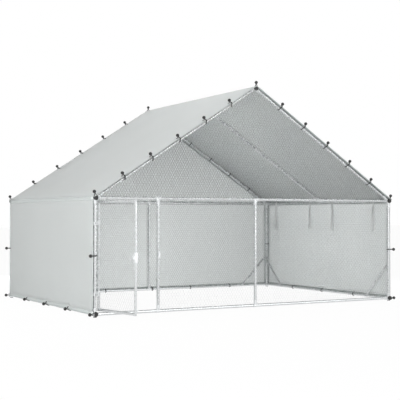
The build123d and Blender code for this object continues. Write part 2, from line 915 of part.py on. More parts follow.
def keeper_screw_places():
    facing = Vector(0, 1, 0)
    heights = [latch_height + way * keeper_height / 3 for way in (-1, 1)]
    return [(front_place(strike_post_x, 0, height), facing) for height in heights]


def latch_bracket():
    # a channel round the free stile with the bolt's guide on its front
    inner = door_radius + latch_seat_gap
    outer = inner + latch_wall
    low = latch_height - latch_bracket_height / 2
    high = latch_height + latch_bracket_height / 2
    guide_low = latch_height - latch_guide_height / 2
    guide_high = latch_height + latch_guide_height / 2
    front = latch_axis_y() - latch_bolt_diameter / 2 - latch_bolt_wall
    left = free_stile_x - door_radius
    right = free_stile_x + outer
    channel = block(front_place(left, -outer, low), front_place(right, outer, high))
    guide = block(front_place(left, front, guide_low), front_place(right, -inner, guide_high))
    room = block(front_place(left - 1, -inner, low - 1), front_place(free_stile_x + inner, inner, high + 1))
    bore_start = front_place(left - 1, latch_axis_y(), latch_height)
    bore_end = front_place(right + 1, latch_axis_y(), latch_height)
    bore = rod(bore_start, bore_end, latch_bolt_diameter / 2 + latch_bolt_clearance)
    holes = [screw_hole(point, way, outer + 1) for point, way in latch_screw_places()]
    return channel.fuse(guide).cut(room, bore, *holes)


def latch_bolt():
    # a round bar bent down at its end as a handle
    y = latch_axis_y()
    guide_right = free_stile_x + door_radius + latch_seat_gap + latch_wall
    guide_left = free_stile_x - door_radius
    tip = front_place(guide_right + latch_tip_gap, y, latch_height)
    bend_x = guide_left - latch_travel - latch_handle_diameter / 2 - latch_tip_gap
    bend = front_place(bend_x, y, latch_height)
    foot = bend - up * latch_handle_length
    bar = rod(bend, tip, latch_bolt_diameter / 2)
    corner = Solid.make_sphere(latch_bolt_diameter / 2, Plane(origin=bend))
    handle = rod(bend, foot, latch_handle_diameter / 2)
    knob = Solid.make_sphere(latch_bolt_diameter / 2, Plane(origin=foot))
    return bar.fuse(corner, handle, knob)


def latch_keeper():
    # a clip on the front of the strike post with an eye for the bolt
    front = latch_axis_y() - latch_bolt_diameter / 2 - latch_bolt_wall
    inner = tube_radius + latch_seat_gap
    outer = inner + latch_wall
    half_high = keeper_height / 2
    eye_high = latch_guide_height / 2
    left = strike_post_x - keeper_width / 2
    right = strike_post_x + outer
    z = latch_height
    clip = block(front_place(left, -outer, z - half_high), front_place(right, outer, z + half_high))
    room_low = front_place(left - 1, -inner, z - half_high - 1)
    room = block(room_low, front_place(strike_post_x + inner, inner, z + half_high + 1))
    eye_right = strike_post_x + keeper_width / 2
    eye = block(front_place(left, front, z - eye_high), front_place(eye_right, -inner, z + eye_high))
    bore_start = front_place(left - 1, latch_axis_y(), z)
    bore_end = front_place(eye_right + 1, latch_axis_y(), z)
    bore = rod(bore_start, bore_end, latch_bolt_diameter / 2 + keeper_hole_clearance)
    holes = [screw_hole(point, way, outer + 1) for point, way in keeper_screw_places()]
    return clip.fuse(eye).cut(room, bore, *holes)


def keeper_room():
    # the part of the front net that makes way for the keeper
    reach = tube_radius + latch_seat_gap + latch_wall + keeper_net_gap
    half_high = keeper_height / 2 + keeper_net_gap
    net_front = net_offset + net_thickness + net_clearance
    low = front_place(strike_post_x - reach, -net_front, latch_height - half_high)
    return block(low, front_place(strike_post_x + reach, 0, latch_height + half_high))


def opened(shape):
    return shape.rotate(Axis(front_place(hinge_x, 0, 0), up), -door_open_angle)


def build():
    members = frame_members()
    brace_screws = brace_screw_places()
    brace_screws.setdefault("door_strike_post", []).extend(keeper_screw_places())
    socket_screws = [place for member in members.values() for place in socket_screw_places(member)]
    passes = bungee_passes()
    nodes = {}
    for name, member in members.items():
        nodes[name] = frame_tube(member, brace_screws.get(name, []))
    eaves, bases = corner_fittings(members, socket_screws)
    nodes["eave_corner_fittings"] = eaves
    nodes["base_corner_fittings"] = bases
    nodes["ridge_fittings"] = ridge_fittings(members, socket_screws)
    nodes["eave_middle_fittings"] = eave_middle_fittings(members, socket_screws)
    nodes["post_tees"] = post_tees(members, socket_screws)
    nodes["end_plugs"] = end_plugs()
    for name, corner, way, inside, leg, held in brace_places():
        nodes[name] = brace(corner, way, inside, leg)

    brace_seat = tube_radius + brace_seat_gap + brace_tab_thickness
    keeper_seat = tube_radius + latch_seat_gap + latch_wall
    screws = [screw(point + way * sleeve_radius, way) for point, way in socket_screws]
    for name, corner, way, inside, leg, held in brace_places():
        screws += [screw(point + inside * brace_seat, inside) for point in brace_ends(corner, way, leg)]
    screws += [screw(point + way * keeper_seat, way) for point, way in keeper_screw_places()]
    nodes["frame_screws"] = screws

    nodes.update(nets(passes + pole_end_room()))
    nodes.update(covers(passes))
    nodes["bungee_balls"] = [bungee_ball(bungee) for bungee in bungees()]
    nodes["bungee_loops"] = [bungee_loop(bungee) for bungee in bungees()]
    nodes["tie_tapes"] = [tie_tape(side, place) for side in sides.values() for place in tape_places]

    nodes["hinge_straps"] = [hinge_strap(height) for height in hinge_heights]
    nodes["hinge_bolts"] = [strap_bolt(height) for height in hinge_heights]
    nodes["hinge_nuts"] = [strap_nut(height) for height in hinge_heights]
    nodes["latch_keeper"] = latch_keeper()

    latch_seat = door_radius + latch_seat_gap + latch_wall
    nodes["door_frame"] = opened(door_frame())
    nodes["door_net"] = opened(door_net())
    nodes["door_collars"] = [opened(door_collar(height)) for height in hinge_heights]
    nodes["latch_bracket"] = opened(latch_bracket())
    latch_screws = [screw(point + way * latch_seat, way) for point, way in latch_screw_places()]
    nodes["latch_screws"] = [opened(each) for each in latch_screws]
    nodes["latch_bolt"] = opened(latch_bolt())
    return nodes


front_left_foot = Vector(-half_width, -half_depth, 0)
for name, shape in build().items():
    solid = Compound(shape) if isinstance(shape, list) else shape
    export_step(solid.moved(Location(-front_left_foot)), f"parts/{name}.step")
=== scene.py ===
import json
import math

import bmesh
import bpy
from mathutils import Matrix, Vector, noise


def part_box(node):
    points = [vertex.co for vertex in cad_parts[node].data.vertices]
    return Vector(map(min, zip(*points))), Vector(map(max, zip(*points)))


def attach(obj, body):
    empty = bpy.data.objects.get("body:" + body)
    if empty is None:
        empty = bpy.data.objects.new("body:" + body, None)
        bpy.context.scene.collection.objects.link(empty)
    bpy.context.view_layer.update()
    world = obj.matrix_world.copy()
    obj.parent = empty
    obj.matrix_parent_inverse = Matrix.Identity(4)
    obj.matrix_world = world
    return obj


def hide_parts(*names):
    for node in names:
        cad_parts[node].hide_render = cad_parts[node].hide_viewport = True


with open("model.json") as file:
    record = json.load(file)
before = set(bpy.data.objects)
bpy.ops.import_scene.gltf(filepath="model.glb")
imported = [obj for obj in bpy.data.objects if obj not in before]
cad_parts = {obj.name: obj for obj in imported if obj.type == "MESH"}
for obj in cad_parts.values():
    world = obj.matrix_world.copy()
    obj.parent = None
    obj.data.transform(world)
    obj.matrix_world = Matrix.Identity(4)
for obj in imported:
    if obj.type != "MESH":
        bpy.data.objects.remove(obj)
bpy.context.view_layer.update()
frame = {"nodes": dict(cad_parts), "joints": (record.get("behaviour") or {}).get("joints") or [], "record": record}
nodes = frame["nodes"]
scene = bpy.context.scene
scene.view_settings.view_transform = "Standard"
print("frame loaded:", len(nodes), "nodes")


def middle(node):
    low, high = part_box(node)
    return (low + high) / 2


# post centres, rail heights and the roof's pitch come from the frame
leftX = middle("front_left_post").x
rightX = middle("front_right_post").x
frontY = middle("front_left_post").y
rearY = middle("rear_left_post").y
baseZ = middle("front_base_rail").z
eaveZ = middle("left_eave_rail").z
ridgeZ = middle("ridge_pole").z
centreX = (leftX + rightX) / 2
centreY = (frontY + rearY) / 2
halfWidth = (rightX - leftX) / 2
halfDepth = (rearY - frontY) / 2
roofAngle = math.atan2(ridgeZ - eaveZ, halfWidth)
roofCos = math.cos(roofAngle)
roofSin = math.sin(roofAngle)
roofSlope = math.tan(roofAngle)
tubeRadius = 0.0125
sleeveRadius = 0.0146  # of the fittings at the pole ends
sheetEdge = 0.005  # nets and covers reach this far past the tube centres
netOffset = 0.0159  # from a tube's centre to the middle of its net
coverOffset = 0.0177  # from a tube's centre to the middle of its cover
ridgeRound = 0.008  # half width of the bend over the ridge pole
roofOverhang = 0.035
right = Vector((1, 0, 0))
back = Vector((0, 1, 0))
up = Vector((0, 0, 1))
sides = {"left": (-1, leftX), "right": (1, rightX)}


def linked(name, data):
    item = bpy.data.objects.new(name, data)
    scene.collection.objects.link(item)
    return item


def meshFrom(name, shape):
    mesh = bpy.data.meshes.new(name)
    shape.to_mesh(mesh)
    shape.free()
    return mesh


camera = {"lens": 82.923, "sensor": 36, "reach": 200, "place": (-2.8381, -6.6589, 0.7821),
          "pitch": 0.018598, "yaw": -0.516312}
cameraData = bpy.data.cameras.new("photoCamera")
cameraData.sensor_width = camera["sensor"]
cameraData.lens = camera["lens"]
cameraData.clip_end = camera["reach"]
cameraObject = linked("photoCamera", cameraData)
cameraObject.location = camera["place"]
cameraObject.rotation_euler = (math.pi / 2 + camera["pitch"], 0, camera["yaw"])
scene.camera = cameraObject

floatSocket = "NodeSocketFloat"
intSocket = "NodeSocketInt"
colorSocket = "NodeSocketColor"
vectorSocket = "NodeSocketVector"
geometrySocket = "NodeSocketGeometry"
materialSocket = "NodeSocketMaterial"


def addNode(tree, kind, place, inputs=None, **settings):
    node = tree.nodes.new(kind)
    node.location = place
    for name, value in settings.items():
        setattr(node, name, value)
    for key, value in (inputs or {}).items():
        if isinstance(value, bpy.types.NodeSocket):
            tree.links.new(value, node.inputs[key])
        else:
            node.inputs[key].default_value = value
    return node


def newGroup(name, inputs, outputs, kind="ShaderNodeTree"):
    tree = bpy.data.node_groups.new(name, kind)
    for socketName, socketKind in inputs:
        tree.interface.new_socket(socketName, in_out="INPUT", socket_type=socketKind)
    for socketName, socketKind in outputs:
        tree.interface.new_socket(socketName, in_out="OUTPUT", socket_type=socketKind)
    return tree, addNode(tree, "NodeGroupInput", (-1600, 0)), addNode(tree, "NodeGroupOutput", (1600, 0))


def fillGroup(tree, end, outputs):
    for name, socket in outputs.items():
        tree.links.new(socket, end.inputs[name])
    return tree


def mathNode(tree, operation, first, second=0.0, place=(0, -600)):
    return addNode(tree, "ShaderNodeMath", place, {0: first, 1: second}, operation=operation).outputs[0]


def sine(tree, place, value, period):
    turn = mathNode(tree, "MULTIPLY", value, 2 * math.pi / period, place)
    return mathNode(tree, "SINE", turn, place=(place[0] + 160, place[1]))


def noiseFrom(tree, place, coords, scale, detail=2.0):
    inputs = {"Vector": coords, "Scale": scale, "Detail": detail}
    return addNode(tree, "ShaderNodeTexNoise", place, inputs).outputs[0]


def mapRange(tree, place, value, low=0.0, high=1.0, toLow=0.0, toHigh=1.0):
    inputs = {"Value": value, "From Min": low, "From Max": high, "To Min": toLow, "To Max": toHigh}
    return addNode(tree, "ShaderNodeMapRange", place, inputs).outputs[0]


def mixColor(tree, place, share, first, second):
    inputs = {"Factor": share, 6: first, 7: second}  # 6 and 7 are the node's two colours
    return addNode(tree, "ShaderNodeMix", place, inputs, data_type="RGBA").outputs[2]


def bumpFrom(tree, place, height, strength, distance):
    inputs = {"Height": height, "Strength": strength, "Distance": distance}
    return addNode(tree, "ShaderNodeBump", place, inputs).outputs[0]


def zincGroup():  # spangle cells over soft clouds, with a fine grain
    tree, start, end = newGroup(
        "zincSkin",
        [("Pale", colorSocket), ("Dull", colorSocket), ("Spangle", floatSocket), ("Smooth", floatSocket),
         ("Rough", floatSocket)],
        [("Color", colorSocket), ("Roughness", floatSocket), ("Normal", vectorSocket)],
    )
    take = start.outputs
    coords = addNode(tree, "ShaderNodeTexCoord", (-900, -250)).outputs["Object"]
    cells = addNode(tree, "ShaderNodeTexVoronoi", (-600, 200), {"Vector": coords, "Scale": take["Spangle"]})
    cell = addNode(tree, "ShaderNodeSeparateColor", (-420, 200), {0: cells.outputs["Color"]}).outputs[0]
    clouds = noiseFrom(tree, (-600, -60), coords, scale=7, detail=6)
    fine = noiseFrom(tree, (-600, -320), coords, scale=900)
    patch = mapRange(tree, (-420, -60), clouds, low=0.35, high=0.7)
    share = mathNode(tree, "MULTIPLY", mathNode(tree, "ADD", cell, patch, (-240, 120)), 0.5, (-80, 120))
    return fillGroup(tree, end, {
        "Color": mixColor(tree, (120, 200), share, take["Pale"], take["Dull"]),
        "Roughness": mapRange(tree, (120, -40), share, toLow=take["Smooth"], toHigh=take["Rough"]),
        "Normal": bumpFrom(tree, (120, -320), fine, strength=0.06, distance=0.0004),
    })


def weaveGroup():  # crossed threads, with slubs and a slow drift of colour
    threadPitch = 0.0011
    tree, start, end = newGroup(
        "wovenCloth",
        [("Pale", colorSocket), ("Deep", colorSocket), ("Depth", floatSocket)],
        [("Color", colorSocket), ("Normal", vectorSocket)],
    )
    take = start.outputs
    uv = addNode(tree, "ShaderNodeTexCoord", (-900, -250)).outputs["UV"]
    parts = addNode(tree, "ShaderNodeSeparateXYZ", (-720, -250), {0: uv}).outputs
    warp = sine(tree, (-540, -200), parts[0], threadPitch)
    weft = sine(tree, (-540, -380), parts[1], threadPitch)
    threads = mathNode(tree, "MULTIPLY", warp, weft, (-200, -280))
    clouds = noiseFrom(tree, (-540, 220), uv, scale=1.3, detail=4)
    slubs = noiseFrom(tree, (-540, 20), uv, scale=160, detail=3)
    spread = mapRange(tree, (-340, 220), clouds, low=0.3, high=0.7, toHigh=0.75)
    fleck = mapRange(tree, (-340, 20), slubs, low=0.3, high=0.7, toHigh=0.25)
    share = mathNode(tree, "ADD", spread, fleck, (-140, 140))
    return fillGroup(tree, end, {
        "Color": mixColor(tree, (120, 200), share, take["Pale"], take["Deep"]),
        "Normal": bumpFrom(tree, (120, -280), threads, strength=take["Depth"], distance=0.0002),
    })


def grainGroup():  # moulded grain with a little dust
    tree, start, end = newGroup(
        "mouldedGrain",
        [("Pale", colorSocket), ("Deep", colorSocket), ("Grain", floatSocket)],
        [("Color", colorSocket), ("Roughness", floatSocket), ("Normal", vectorSocket)],
    )
    take = start.outputs
    coords = addNode(tree, "ShaderNodeTexCoord", (-900, -250)).outputs["Object"]
    fine = noiseFrom(tree, (-600, -150), coords, scale=take["Grain"])
    dust = noiseFrom(tree, (-600, 150), coords, scale=45, detail=5)
    return fillGroup(tree, end, {
        "Color": mixColor(tree, (120, 200), dust, take["Deep"], take["Pale"]),
        "Roughness": mapRange(tree, (120, -40), dust, toLow=0.38, toHigh=0.6),
        "Normal": bumpFrom(tree, (120, -280), fine, strength=0.12, distance=0.0003),
    })


def groupMaterial(name, group, settings, links, values):
    material = bpy.data.materials.new(name)
    material.use_nodes = True
    tree = material.node_tree
    shader = tree.nodes["Principled BSDF"]
    node = addNode(tree, "ShaderNodeGroup", (-320, 100), node_tree=group)
    for socketName, value in settings.items():
        node.inputs[socketName].default_value = value
    for output, target in links:
        tree.links.new(node.outputs[output], shader.inputs[target])
    for socketName, value in values.items():
        shader.inputs[socketName].default_value = value
    return material


def grey(level, tint=(1, 1, 1)):
    return (level * tint[0], level * tint[1], level * tint[2], 1)


zinc = zincGroup()
weave = weaveGroup()
grain = grainGroup()
clothLinks = [("Color", "Base Color"), ("Normal", "Normal")]
skinLinks = [("Color", "Base Color"), ("Roughness", "Roughness"), ("Normal", "Normal")]
coolTint = (0.965, 0.99, 1.0)
thinCloth = {"Subsurface Weight": 1.0, "Subsurface Radius": (1, 1, 1), "Subsurface Scale": 0.004}


def zincMaterial(name, pale, dull, spangle, smooth, rough, metallic):
    settings = {"Pale": grey(pale, coolTint), "Dull": grey(dull, coolTint), "Spangle": spangle,
                "Smooth": smooth, "Rough": rough}
    return groupMaterial(name, zinc, settings, skinLinks, {"Metallic": metallic})


def clothMaterial(name, pale, deep, depth, roughness, specular):
    settings = {"Pale": (*pale, 1), "Deep": (*deep, 1), "Depth": depth}
    values = {"Roughness": roughness, "Specular IOR Level": specular, **thinCloth}
    return groupMaterial(name, weave, settings, clothLinks, values)


def mouldedMaterial(name, pale, deep, grainScale, specular):
    settings = {"Pale": grey(pale), "Deep": grey(deep), "Grain": grainScale}
    return groupMaterial(name, grain, settings, skinLinks, {"Specular IOR Level": specular})


tubeMaterial = zincMaterial("galvanisedTube", pale=0.68, dull=0.6, spangle=110, smooth=0.24, rough=0.32,
                            metallic=0.9)
fittingMaterial = zincMaterial("galvanisedFitting", pale=0.8, dull=0.7, spangle=150, smooth=0.26, rough=0.4,
                               metallic=0.6)
hardwareMaterial = zincMaterial("platedHardware", pale=0.76, dull=0.68, spangle=260, smooth=0.28, rough=0.4,
                                metallic=0.5)
fastenerMaterial = zincMaterial("platedFastener", pale=0.5, dull=0.36, spangle=400, smooth=0.3, rough=0.5,
                                metallic=0.8)
# one galvanised wire in two copies: this darker copy is painted shade, used for the rear, side, roof and front
# gable nets
shadedWireMaterial = zincMaterial("shadedGalvanisedWire", pale=0.28, dull=0.2, spangle=60, smooth=0.3, rough=0.42,
                            metallic=0.9)
# the lighter copy of the same wire is painted light, used for the front and door nets
litFrontWireMaterial = zincMaterial("litWire", pale=0.68, dull=0.58, spangle=60, smooth=0.26, rough=0.38,
                                 metallic=0.9)
coverMaterial = clothMaterial("coatedCloth", pale=(0.615, 0.655, 0.645), deep=(0.585, 0.625, 0.615),
                              depth=0.25, roughness=0.62, specular=0.3)
hemMaterial = clothMaterial("hemCloth", pale=(0.59, 0.63, 0.62), deep=(0.54, 0.575, 0.57),
                            depth=0.3, roughness=0.65, specular=0.3)
tapeMaterial = clothMaterial("tapeWebbing", pale=(0.86, 0.88, 0.87), deep=(0.78, 0.8, 0.79),
                             depth=0.6, roughness=0.8, specular=0.2)
plugMaterial = mouldedMaterial("blackPlug", pale=0.035, deep=0.012, grainScale=1600, specular=0.45)
ballMaterial = mouldedMaterial("blackBall", pale=0.028, deep=0.009, grainScale=2200, specular=0.5)
elasticMaterial = mouldedMaterial("braidedElastic", pale=0.03, deep=0.006, grainScale=900, specular=0.25)
print("materials made")

finishes = {"tube": tubeMaterial, "fitting": fittingMaterial, "hardware": hardwareMaterial,
            "fastener": fastenerMaterial, "plug": plugMaterial}
for subpart in frame["record"]["subparts"]:
    if subpart["material_slot"] in finishes:
        slots = nodes[subpart["node"]].data.materials
        slots.clear()
        slots.append(finishes[subpart["material_slot"]])
print("CAD nodes dressed")


def finished(name, mesh, material, body, replaced):
    mesh.name = name
    mesh.materials.clear()
    mesh.materials.append(material)
    piece = linked(name, mesh)
    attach(piece, body)
    if replaced:
        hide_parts(replaced)
    return piece


def evaluatedMesh(piece):
    graph = bpy.context.evaluated_depsgraph_get()
    mesh = bpy.data.meshes.new_from_object(piece.evaluated_get(graph))
    bpy.data.objects.remove(piece)
    return mesh


def withModifier(name, mesh, tree, values):
    piece = linked(name, mesh)
    modifier = piece.modifiers.new("shape", "NODES")
    modifier.node_group = tree
    for socket in tree.interface.items_tree:
        if socket.in_out == "INPUT" and socket.name in values:
            modifier[socket.identifier] = values[socket.name]
    return evaluatedMesh(piece)


netting = {"cell": 0.025, "wire": 0.0008, "twist": 0.00125, "border": 0.00125, "frontGauge": 0.7,
           "seamGap": 0.004, "wireSides": 4, "borderSides": 6, "spareCells": 5, "leastShoulder": 1e-4}
rowShare = math.sqrt(3) / 2  # row pitch over cell width in a six-sided net


def positionAxes(tree, place):
    where = addNode(tree, "GeometryNodeInputPosition", place).outputs[0]
    return addNode(tree, "ShaderNodeSeparateXYZ", (place[0] + 200, place[1]), {0: where}).outputs


def wireTube(tree, place, mesh, radius, wireSides):
    x, y = place
    lines = addNode(tree, "GeometryNodeMeshToCurve", place, {"Mesh": mesh})
    section = addNode(tree, "GeometryNodeCurvePrimitiveCircle", (x, y - 200), {
        "Resolution": wireSides, "Radius": radius})
    tube = addNode(tree, "GeometryNodeCurveToMesh", (x + 300, y), {
        "Curve": lines.outputs[0], "Profile Curve": section.outputs[0]})
    return tube.outputs[0]


def nettingTree():
    tree, start, end = newGroup("hexNetting", [
        ("Geometry", geometrySocket), ("Columns", intSocket), ("Rows", intSocket), ("Cell", floatSocket),
        ("Half width", floatSocket), ("Low", floatSocket), ("High", floatSocket), ("Peak", floatSocket),
        ("Slope", floatSocket), ("Wire radius", floatSocket), ("Twist radius", floatSocket),
        ("Border radius", floatSocket), ("Wire", materialSocket),
    ], [("Geometry", geometrySocket)], "GeometryNodeTree")
    take = start.outputs

    def calc(operation, first, second=0.0):
        return mathNode(tree, operation, first, second)

    # cell centres on a grid, every second row shifted by half a cell
    rowPitch = calc("MULTIPLY", take["Cell"], rowShare)
    gridWide = calc("MULTIPLY", calc("SUBTRACT", take["Columns"], 1), take["Cell"])
    gridHigh = calc("MULTIPLY", calc("SUBTRACT", take["Rows"], 1), rowPitch)
    grid = addNode(tree, "GeometryNodeMeshGrid", (-1300, 200), {
        "Size X": gridWide, "Size Y": gridHigh, "Vertices X": take["Columns"], "Vertices Y": take["Rows"]})
    row = calc("ROUND", calc("DIVIDE", positionAxes(tree, (-1300, -200))[1], rowPitch))
    shift = calc("MULTIPLY", calc("FLOORED_MODULO", row, 2.0), calc("MULTIPLY", take["Cell"], 0.5))
    middleUp = calc("MULTIPLY", calc("ADD", take["Low"], take["High"]), 0.5)
    offset = addNode(tree, "ShaderNodeCombineXYZ", (-900, -200), {0: shift, 1: middleUp})
    staggered = addNode(tree, "GeometryNodeSetPosition", (-700, 200), {
        "Geometry": grid.outputs["Mesh"], "Offset": offset.outputs[0]})

    # each cell draws its twist and two plain wires, and its neighbours draw the rest
    twistEdge, lastPlainEdge = 5, 1
    cellRadius = calc("DIVIDE", take["Cell"], math.sqrt(3))
    ring = addNode(tree, "GeometryNodeMeshCircle", (-1300, 600), {"Vertices": 6, "Radius": cellRadius})
    turned = addNode(tree, "GeometryNodeTransform", (-1100, 600), {
        "Geometry": ring.outputs[0], "Rotation": (0, 0, math.pi / 6)})
    index = addNode(tree, "GeometryNodeInputIndex", (-1100, 800)).outputs[0]
    notTwist = addNode(tree, "FunctionNodeCompare", (-900, 800), {2: index, 3: twistEdge},
                       data_type="INT", operation="LESS_THAN").outputs[0]
    notPlain = addNode(tree, "FunctionNodeCompare", (-900, 1000), {2: index, 3: lastPlainEdge},
                       data_type="INT", operation="GREATER_THAN").outputs[0]
    strands = addNode(tree, "GeometryNodeJoinGeometry", (1100, 200))
    for unwanted, radius in ((notTwist, take["Twist radius"]), (notPlain, take["Wire radius"])):
        cell = addNode(tree, "GeometryNodeDeleteGeometry", (-700, 600), {
            "Geometry": turned.outputs[0], "Selection": unwanted}, domain="EDGE", mode="ALL")
        copies = addNode(tree, "GeometryNodeInstanceOnPoints", (-500, 400), {
            "Points": staggered.outputs[0], "Instance": cell.outputs[0]})
        lattice = addNode(tree, "GeometryNodeRealizeInstances", (-300, 400), {0: copies.outputs[0]})
        # edges outside the outline go, and the ends that still pass it are pulled back to it
        axes = positionAxes(tree, (-300, 0))
        reach = calc("ABSOLUTE", axes[0])
        roofLine = calc("SUBTRACT", take["Peak"], calc("MULTIPLY", reach, take["Slope"]))
        top = calc("MINIMUM", take["High"], roofLine)
        past = calc("GREATER_THAN", reach, take["Half width"])
        under = calc("LESS_THAN", axes[1], take["Low"])
        over = calc("GREATER_THAN", axes[1], top)
        outside = calc("GREATER_THAN", calc("ADD", past, calc("ADD", under, over)), 0.5)
        kept = addNode(tree, "GeometryNodeDeleteGeometry", (100, 400), {
            "Geometry": lattice.outputs[0], "Selection": outside}, domain="EDGE", mode="ALL")
        sideways = calc("MAXIMUM", calc("MINIMUM", axes[0], take["Half width"]),
                        calc("MULTIPLY", take["Half width"], -1.0))
        upright = calc("MAXIMUM", calc("MINIMUM", axes[1], top), take["Low"])
        place = addNode(tree, "ShaderNodeCombineXYZ", (200, 0), {0: sideways, 1: upright})
        trimmed = addNode(tree, "GeometryNodeSetPosition", (300, 400), {
            "Geometry": kept.outputs[0], "Position": place.outputs[0]})
        tube = wireTube(tree, (500, 400), trimmed.outputs[0], radius, netting["wireSides"])
        tree.links.new(tube, strands.inputs[0])
    rim = wireTube(tree, (500, -200), take["Geometry"], take["Border radius"], netting["borderSides"])
    tree.links.new(rim, strands.inputs[0])
    soft = addNode(tree, "GeometryNodeSetShadeSmooth", (1200, 200), {"Geometry": strands.outputs[0]})
    whole = addNode(tree, "GeometryNodeRealizeInstances", (1300, 200), {0: soft.outputs[0]})
    wired = addNode(tree, "GeometryNodeSetMaterial", (1450, 200), {
        "Geometry": whole.outputs[0], "Material": take["Wire"]})
    return fillGroup(tree, end, {"Geometry": wired.outputs[0]})


hexTree = nettingTree()


def panelMatrix(origin, along, upward):
    columns = (along, upward, along.cross(upward), origin)
    return Matrix([[*(column[row] for column in columns)] for row in range(3)] + [[0, 0, 0, 1]])


def boxOutline(x0, y0, x1, y1):
    return [(x0, y0), (x1, y0), (x1, y1), (x0, y1)]


def gableOutline(span, low, shoulder, peak):
    return [(-span, low), (span, low), (span, shoulder), (0, peak), (-span, shoulder)]


def outlineMesh(name, outline, seams):
    count = len(outline)
    points = [(x, y, 0) for x, y in outline]
    edges = [(i, (i + 1) % count) for i in range(count)]
    for first, last in seams:
        edges.append((len(points), len(points) + 1))
        points += [(*first, 0), (*last, 0)]
    mesh = bpy.data.meshes.new(name)
    mesh.from_pydata(points, edges, [])
    return mesh


# nets take the darker wire copy, which is painted shade, unless another wire is given
def hexNet(name, node, matrix, halfSpan, low, high, peak=None, slope=0.0, seams=(), gauge=1.0,
           wire=shadedWireMaterial, body="frame"):
    if peak is None:
        peak = high
        outline = boxOutline(-halfSpan, low, halfSpan, high)
    else:
        shoulder = peak - slope * halfSpan
        outline = gableOutline(halfSpan, low, shoulder, peak)
        if shoulder < low + netting["leastShoulder"]:
            reach = (peak - low) / slope
            outline = [(-reach, low), (reach, low), (0, peak)]
    columns = 2 * int(halfSpan / netting["cell"]) + netting["spareCells"]
    rows = 2 * int((high - low) / 2 / (netting["cell"] * rowShare)) + netting["spareCells"]
    mesh = withModifier(name, outlineMesh(name, outline, seams), hexTree, {
        "Columns": columns, "Rows": rows, "Cell": netting["cell"], "Half width": halfSpan,
        "Low": low, "High": high, "Peak": peak, "Slope": slope, "Wire radius": netting["wire"] * gauge,
        "Twist radius": netting["twist"] * gauge, "Border radius": netting["border"] * gauge, "Wire": wire})
    mesh.transform(matrix)
    return finished(name, mesh, wire, body, node)


def roofHeight(distance, offset):
    return ridgeZ - distance * roofSlope + offset / roofCos


def uprightSeams(places, low, high):
    return [((x, low), (x, high)) for x in places]


def levelSeams(heights, reach):
    return [((-reach, z), (reach, z)) for z in heights]


seamGap = tubeRadius + netting["seamGap"]
peakZ = roofHeight(0, sheetEdge)
# the front and door nets take thinner wire and the lighter wire copy, which is painted light
litFrontWire = {"gauge": netting["frontGauge"], "wire": litFrontWireMaterial}

low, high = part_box("front_net")
frontPlane = panelMatrix(Vector(((low.x + high.x) / 2, frontY - netOffset, 0)), right, up)
hexNet("frontNetting", "front_net", frontPlane, (high.x - low.x) / 2, low.z, high.z, **litFrontWire)

low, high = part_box("front_gable_net")
gablePlane = panelMatrix(Vector((centreX, frontY - netOffset, 0)), right, up)
hexNet("frontGableNetting", "front_gable_net", gablePlane, halfWidth + sheetEdge, low.z, high.z,
       peakZ, roofSlope)

low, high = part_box("rear_net")
rearPlane = panelMatrix(Vector((centreX, rearY + netOffset, 0)), -right, up)
rearSeams = uprightSeams((seamGap - halfWidth, -seamGap, seamGap, halfWidth - seamGap), low.z, eaveZ)
rearSeams += levelSeams((baseZ + seamGap, eaveZ - seamGap, eaveZ + seamGap), halfWidth)
for foot in (-halfWidth, halfWidth):
    rearSeams.append(((foot, roofHeight(halfWidth, -seamGap)), (0, roofHeight(0, -seamGap))))
hexNet("rearNetting", "rear_net", rearPlane, halfWidth + sheetEdge, low.z, high.z, peakZ, roofSlope,
       seams=rearSeams)

postSeams = (seamGap - halfDepth, halfDepth - seamGap)
slopeHigh = (halfWidth + netOffset * roofSin) / roofCos - ridgeRound
slopeLow = (netOffset * roofSin - netOffset) / roofCos
for sideName, (side, sideX) in sides.items():
    low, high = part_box(f"{sideName}_net")
    along = Vector((0, side, 0))
    plane = panelMatrix(Vector((sideX + side * netOffset, centreY, 0)), along, up)
    sideSeams = uprightSeams(postSeams, low.z, high.z)
    sideSeams += levelSeams((baseZ + seamGap, eaveZ - seamGap), halfDepth)
    hexNet(f"{sideName}Netting", f"{sideName}_net", plane, halfDepth + sheetEdge, low.z, high.z,
           seams=sideSeams)
    upward = Vector((-side * roofCos, 0, roofSin))
    eave = Vector((sideX, centreY, eaveZ)) + Vector((side * roofSin, 0, roofCos)) * netOffset
    roofSeams = uprightSeams((*postSeams, -seamGap, seamGap), slopeLow, slopeHigh)
    hexNet(f"{sideName}RoofNetting", f"{sideName}_roof_net", panelMatrix(eave, along, upward),
           halfDepth + sheetEdge, slopeLow, slopeHigh, seams=roofSeams)

doorNet = {"start": 0.014, "end": 0.4777}  # along the door, from its hinge axis
hinge = next(joint for joint in frame["joints"] if joint["name"] == "door_hinge")
doorAngle = math.radians(-hinge["range_deg"][0])
doorAlong = Vector((math.cos(doorAngle), -math.sin(doorAngle), 0))
doorMiddle = Vector((*hinge["pos_m"][:2], 0)) + doorAlong * ((doorNet["start"] + doorNet["end"]) / 2)
low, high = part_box("door_net")
hexNet("doorNetting", "door_net", panelMatrix(doorMiddle, doorAlong, up),
       (doorNet["end"] - doorNet["start"]) / 2, low.z, high.z, body="door", **litFrontWire)
print("netting made")

bungee = {"ball": 0.014, "ballSides": 24, "ballSteps": 18, "seamSwell": 0.012, "seamWidth": 0.09,
          "cord": 0.0023, "clear": 0.0004, "gap": 0.0004, "bendGap": 0.0009, "bendStep": 0.3,
          "standoff": 0.046, "cornerStandoff": 0.05, "lead": 0.022, "lean": 0.3, "eyeletPlace": 0.021,
          "neckIn": 0.0015, "stubPlace": 0.0196, "postHeight": 0.48, "rafterSpaces": 6, "sideSpaces": 4,
          "rearSpaces": 6, "rearShift": 0.04}
strandShift = bungee["cord"] + bungee["gap"] / 2  # the doubled cord's strands lie this far off its middle


